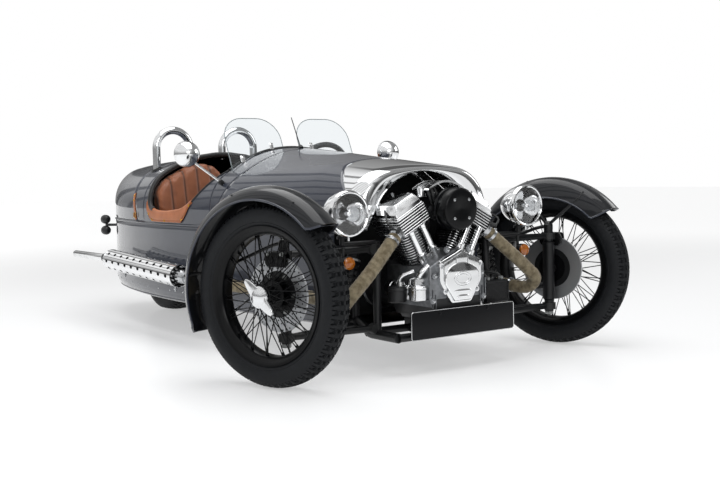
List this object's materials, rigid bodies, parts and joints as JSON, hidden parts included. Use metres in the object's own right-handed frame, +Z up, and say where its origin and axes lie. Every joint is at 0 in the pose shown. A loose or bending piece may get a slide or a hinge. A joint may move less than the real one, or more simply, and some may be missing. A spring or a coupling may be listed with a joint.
{
  "type": "three wheeled car",
  "caption": "Open two-seat vintage-style three-wheeler with exposed V-twin engine, wire front wheels, cycle mudguards, side exhausts and a barrel-shaped body.",
  "frame": {"origin": "on the ground, at the middle of the car's length, on its centre line", "axes": "-Y is the front of the car, +X is the car's left, +Z is up"},
  "size_m": [1.8566, 3.2112, 1.0472],
  "materials": {
    "paint": "gloss",
    "chrome": "polished",
    "black_metal": "satin",
    "tyre": "matte",
    "wheel_black": "gloss",
    "engine_black": "satin",
    "polished_alloy": "polished",
    "alloy": "satin",
    "heat_wrap": "matte",
    "leather": "satin",
    "black_leather": "satin",
    "clear": "gloss",
    "amber": "gloss",
    "black_plastic": "satin",
    "plate": "gloss"
  },
  "bodies": {
    "chassis": {"body_tub": "paint", "bonnet": "paint", "cockpit_surround": "paint", "front_cowl": "chrome", "chassis_frame": "black_metal", "front_suspension": "black_metal", "swingarm": "black_metal", "rear_wheel_arch": "black_plastic", "cylinders": "engine_black", "rocker_covers": "polished_alloy", "engine_crankcase": "alloy", "cam_cover": "polished_alloy", "pushrod_tubes": "chrome", "air_cleaner": "black_metal", "exhaust_pipes": "heat_wrap", "silencers": "chrome", "oil_cooler": "black_metal", "firewall_tunnel": "black_metal", "seat_backs": "leather", "seat_cushions": "leather", "cockpit_rim": "black_leather", "elbow_trims": "leather", "dashboard": "paint", "roll_hoops": "chrome", "aero_screens": "clear", "mirrors": "chrome", "headlamps": "chrome", "front_indicators": "amber", "rear_lamps": "black_plastic", "number_plate": "plate", "antenna": "black_plastic"},
    "boot_lid": {"boot_lid": "paint"},
    "steering_wheel": {"steering_wheel": "black_leather"},
    "steer_right": {"upright_right": "black_metal", "mudguard_right": "paint"},
    "steer_left": {"upright_left": "black_metal", "mudguard_left": "paint"},
    "wheel_right": {"front_wheel_right": "wheel_black", "front_tyre_right": "tyre"},
    "wheel_left": {"front_wheel_left": "wheel_black", "front_tyre_left": "tyre"},
    "wheel_rear": {"rear_wheel": "wheel_black", "rear_tyre": "tyre"}
  },
  "joints": [
    {"name": "steer_right_turn", "type": "hinge", "parent": "chassis", "child": "steer_right", "pos_m": [-0.6744, -1.25825, 0.338], "axis": [0, 0, 1], "range_deg": [-46, 11]},
    {"name": "steer_left_turn", "type": "hinge", "parent": "chassis", "child": "steer_left", "pos_m": [0.6744, -1.25825, 0.338], "axis": [0, 0, 1], "range_deg": [-47.5, 11.4]},
    {"name": "steering_wheel_turn", "type": "hinge", "parent": "chassis", "child": "steering_wheel", "pos_m": [0.215, -0.13825, 0.775], "axis": [0, 0.9397, 0.342], "range_deg": [-415, 100]},
    {"name": "wheel_right_spin", "type": "hinge", "parent": "steer_right", "child": "wheel_right", "pos_m": [-0.74367, -1.28129, 0.338], "axis": [0.9489, 0.3156, 0], "continuous": true},
    {"name": "wheel_left_spin", "type": "hinge", "parent": "steer_left", "child": "wheel_left", "pos_m": [0.74326, -1.234, 0.338], "axis": [0.9432, 0.3322, 0], "continuous": true},
    {"name": "wheel_rear_spin", "type": "hinge", "parent": "chassis", "child": "wheel_rear", "pos_m": [0, 1.13175, 0.31], "axis": [1, 0, 0], "continuous": true},
    {"name": "boot_lid_hinge", "type": "hinge", "parent": "chassis", "child": "boot_lid", "pos_m": [0, 1.59675, 0.554], "axis": [-1, 0, 0], "range_deg": [0, 60]}
  ],
  "couplings": [
    {"joint": "steer_left_turn", "follows": "steer_right_turn", "ratio": 1.03},
    {"joint": "steering_wheel_turn", "follows": "steer_right_turn", "ratio": 9}
  ]
}
